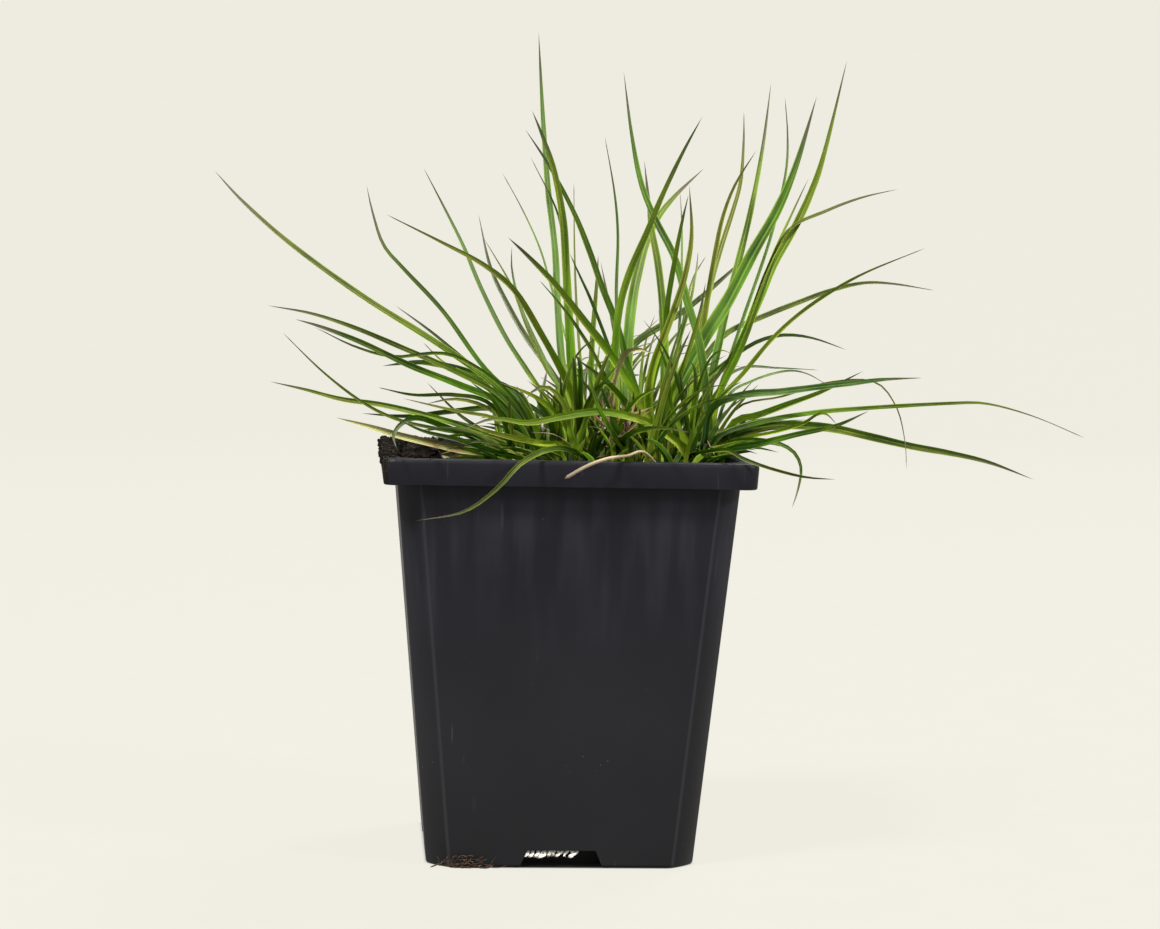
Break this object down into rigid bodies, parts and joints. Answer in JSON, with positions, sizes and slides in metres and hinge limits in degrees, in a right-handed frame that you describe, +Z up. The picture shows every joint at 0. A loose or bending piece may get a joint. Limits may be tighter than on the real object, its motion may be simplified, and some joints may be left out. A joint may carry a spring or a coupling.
{
  "type": "fountain grass in a square nursery pot",
  "caption": "Young fountain grass with arching thin green leaves, standing in the peat soil of a square black moulded nursery pot with a wide rim.",
  "frame": {"origin": "middle of the pot's flat base, on the surface that the pot stands on", "axes": "+Z up; -Y out of the pot's front side, the side that the picture looks at; +X to the right as seen from the front"},
  "size_m": [0.2184, 0.156, 0.2037],
  "materials": {
    "pot_plastic": "black moulded recycled plastic, satin",
    "peat_soil": "dark brown peat, crumbly and matt",
    "grass_leaf": "fresh green grass leaf, satin with fine veins",
    "dry_grass": "dry straw, matt"
  },
  "bodies": {
    "root": {"pot": "pot_plastic", "soil": "peat_soil", "tiller_01": "grass_leaf", "tiller_02": "grass_leaf", "tiller_03": "grass_leaf", "tiller_04": "grass_leaf", "tiller_05": "grass_leaf", "tiller_06": "grass_leaf", "tiller_07": "grass_leaf", "tiller_08": "grass_leaf", "tiller_09": "grass_leaf", "tiller_10": "grass_leaf", "tiller_11": "grass_leaf", "tiller_12": "grass_leaf", "tiller_13": "grass_leaf", "tiller_14": "grass_leaf", "tiller_15": "grass_leaf", "tiller_16": "grass_leaf", "tiller_17": "grass_leaf", "tiller_18": "grass_leaf", "tiller_19": "grass_leaf", "tiller_20": "grass_leaf", "tiller_21": "grass_leaf", "tiller_22": "grass_leaf", "tiller_23": "grass_leaf", "tiller_24": "grass_leaf", "tiller_25": "grass_leaf", "tiller_26": "grass_leaf", "tiller_27": "grass_leaf", "tiller_28": "grass_leaf", "tiller_29": "grass_leaf", "tiller_30": "grass_leaf", "tiller_31": "grass_leaf", "tiller_32": "grass_leaf", "tiller_33": "grass_leaf", "tiller_34": "grass_leaf", "tiller_35": "grass_leaf", "tiller_36": "grass_leaf", "tiller_37": "grass_leaf", "tiller_38": "grass_leaf", "tiller_39": "grass_leaf", "tiller_40": "grass_leaf", "tiller_41": "grass_leaf", "tiller_42": "grass_leaf", "dry_leaf_1": "dry_grass", "dry_leaf_2": "dry_grass", "dry_leaf_3": "dry_grass", "dry_straw": "dry_grass"}
  },
  "joints": []
}
